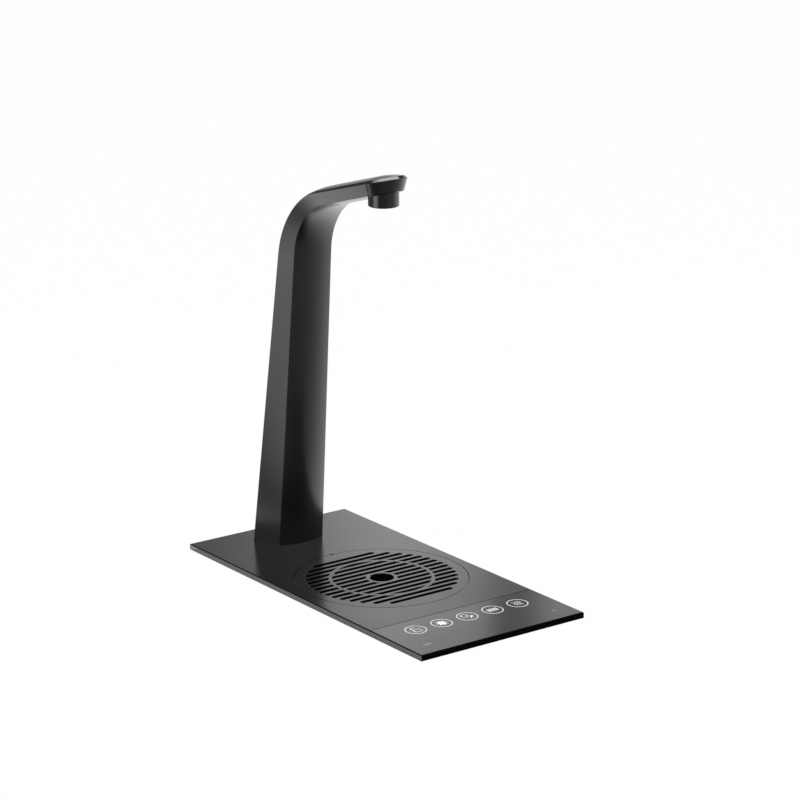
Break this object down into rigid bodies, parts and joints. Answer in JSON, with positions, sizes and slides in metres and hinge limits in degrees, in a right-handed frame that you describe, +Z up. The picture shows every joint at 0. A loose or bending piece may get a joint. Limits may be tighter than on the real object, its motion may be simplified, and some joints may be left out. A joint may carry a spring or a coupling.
{
  "type": "water dispenser tap",
  "caption": "Satin black hot, chilled and sparkling water tap with swept arm, touch icon panel and round slotted drip tray on a slim worktop plate",
  "frame": {"origin": "the mounting shank's axis at the worktop's top face, which is the underside of the base plate and its gasket", "axes": "-Y is the front with the touch icons, +Z is up along the shank, +X is the user's right"},
  "size_m": [0.16, 0.325, 0.476],
  "materials": {
    "satin_black_metal": "satin black powder coat",
    "black_glass": "gloss black back-printed glass",
    "black_moulding": "fine texture",
    "seal_rubber": "moulded",
    "diffuser_film": "matt translucent white",
    "board_green": "solder mask",
    "stainless": "plain stainless",
    "brass_fitting": "machined",
    "cast_foot": "cast, machined faces",
    "water_tube": "smooth translucent",
    "straightener_plastic": "moulded"
  },
  "bodies": {
    "stand": {"base_plate": "satin_black_metal", "worktop_gasket": "seal_rubber", "touch_panel": "black_glass", "icon_diffuser": "diffuser_film", "touch_pcb": "board_green", "control_box": "black_moulding", "control_box_screws": "stainless", "cable_gland": "black_moulding", "grille_pads": "seal_rubber", "drip_bowl": "black_moulding", "bowl_seal": "seal_rubber", "bowl_screws": "stainless", "drain_strainer": "stainless", "drain_spigot": "black_moulding", "drain_washer": "seal_rubber", "drain_nut": "black_moulding", "column_shell": "satin_black_metal", "column_foot": "cast_foot", "column_gasket": "seal_rubber", "foot_screws": "stainless", "shank": "brass_fitting", "hot_tube": "water_tube", "chilled_tube": "water_tube", "sparkling_tube": "water_tube", "tube_spacer": "black_moulding", "outlet_block": "brass_fitting"},
    "grille": {"drip_grille": "satin_black_metal"},
    "clamp_set": {"shank_washer": "seal_rubber", "clamp_plate": "stainless", "backnut": "brass_fitting"},
    "nozzle_insert": {"flow_straightener": "straightener_plastic", "nozzle_seal": "seal_rubber"},
    "nozzle_housing": {"nozzle": "satin_black_metal"}
  },
  "joints": [
    {"name": "grille_lift", "type": "slide", "parent": "stand", "child": "grille", "axis": [0, 0, 1], "range_m": [0, 0.04]},
    {"name": "clamp_travel", "type": "slide", "parent": "stand", "child": "clamp_set", "axis": [0, 0, -1], "range_m": [-0.02, 0.09]},
    {"name": "nozzle_drop", "type": "slide", "parent": "stand", "child": "nozzle_insert", "axis": [0, 0, -1], "range_m": [0, 0.006]},
    {"name": "nozzle_turn", "type": "hinge", "parent": "nozzle_insert", "child": "nozzle_housing", "pos_m": [0, -0.131, 0.32], "axis": [0, 0, 1], "range_deg": [0, 1440]}
  ],
  "couplings": [
    {"joint": "nozzle_drop", "follows": "nozzle_turn", "m_per_rad": 0.00023873}
  ]
}
